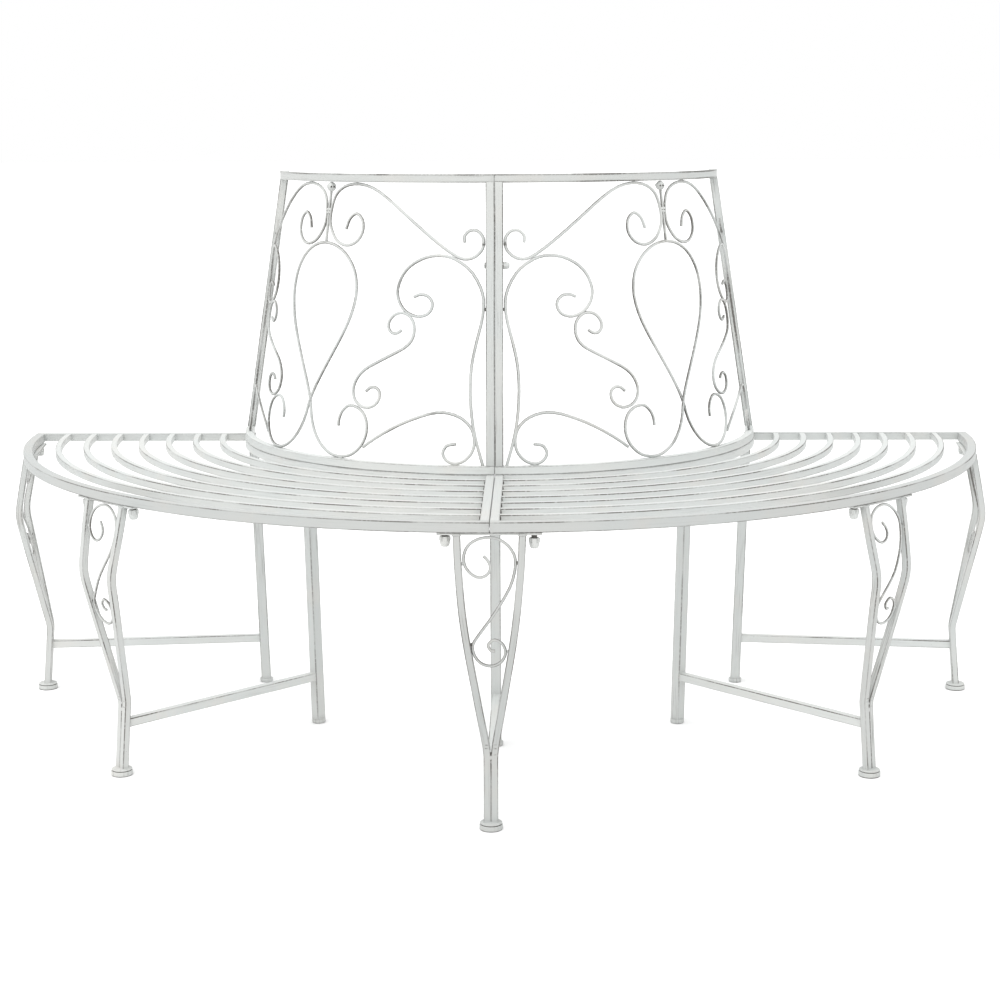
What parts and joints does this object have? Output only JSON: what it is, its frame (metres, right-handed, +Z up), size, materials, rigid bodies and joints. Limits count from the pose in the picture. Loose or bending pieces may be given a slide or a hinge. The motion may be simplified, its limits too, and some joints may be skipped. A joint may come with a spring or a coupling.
{
  "type": "garden bench",
  "caption": "Half-round tree bench of white painted steel: curved slatted seat, leaning scrollwork back and scroll-filled V-shaped legs.",
  "frame": {"origin": "on the ground, at the middle of the bench's width and depth; the tree's axis is at (0, 0.4091)", "axes": "+X along the width, to the sitter's left; +Y from the curved front edge towards the tree; +Z up"},
  "size_m": [1.6301, 0.8189, 0.878],
  "materials": {
    "seat_paint": "distressed off-white paint, satin, rubbed dark along the edges",
    "back_paint": "distressed off-white paint, satin, rubbed dark along the edges",
    "wire_paint": "thin off-white paint over dark steel wire, worn in streaks",
    "leg_paint": "distressed off-white paint, satin, rubbed dark along the edges"
  },
  "bodies": {
    "root": {"seat_rim_outer_left": "seat_paint", "seat_rim_inner_left": "seat_paint", "seat_bar_seam_left": "seat_paint", "seat_bar_end_left": "seat_paint", "seat_slat_1_left": "seat_paint", "seat_slat_2_left": "seat_paint", "seat_slat_3_left": "seat_paint", "seat_slat_4_left": "seat_paint", "seat_slat_5_left": "seat_paint", "seat_slat_6_left": "seat_paint", "seat_slat_7_left": "seat_paint", "back_rail_top_left": "back_paint", "back_rail_bottom_left": "back_paint", "back_post_seam_left": "back_paint", "back_post_end_left": "back_paint", "back_heart_left": "wire_paint", "back_top_scroll_inner_left": "wire_paint", "back_top_scroll_outer_left": "wire_paint", "back_scrolls_inner_left": "wire_paint", "back_scrolls_outer_left": "wire_paint", "seat_rim_outer_right": "seat_paint", "seat_rim_inner_right": "seat_paint", "seat_bar_seam_right": "seat_paint", "seat_bar_end_right": "seat_paint", "seat_slat_1_right": "seat_paint", "seat_slat_2_right": "seat_paint", "seat_slat_3_right": "seat_paint", "seat_slat_4_right": "seat_paint", "seat_slat_5_right": "seat_paint", "seat_slat_6_right": "seat_paint", "seat_slat_7_right": "seat_paint", "back_rail_top_right": "back_paint", "back_rail_bottom_right": "back_paint", "back_post_seam_right": "back_paint", "back_post_end_right": "back_paint", "back_heart_right": "wire_paint", "back_top_scroll_inner_right": "wire_paint", "back_top_scroll_outer_right": "wire_paint", "back_scrolls_inner_right": "wire_paint", "back_scrolls_outer_right": "wire_paint", "leg_frame_far_left": "leg_paint", "leg_scroll_far_left": "wire_paint", "leg_inner_far_left": "leg_paint", "leg_stretcher_far_left": "leg_paint", "leg_frame_mid_left": "leg_paint", "leg_scroll_mid_left": "wire_paint", "leg_inner_mid_left": "leg_paint", "leg_stretcher_mid_left": "leg_paint", "leg_frame_front": "leg_paint", "leg_scroll_front": "wire_paint", "leg_inner_front": "leg_paint", "leg_stretcher_front": "leg_paint", "leg_frame_mid_right": "leg_paint", "leg_scroll_mid_right": "wire_paint", "leg_inner_mid_right": "leg_paint", "leg_stretcher_mid_right": "leg_paint", "leg_frame_far_right": "leg_paint", "leg_scroll_far_right": "wire_paint", "leg_inner_far_right": "leg_paint", "leg_stretcher_far_right": "leg_paint"}
  },
  "joints": []
}
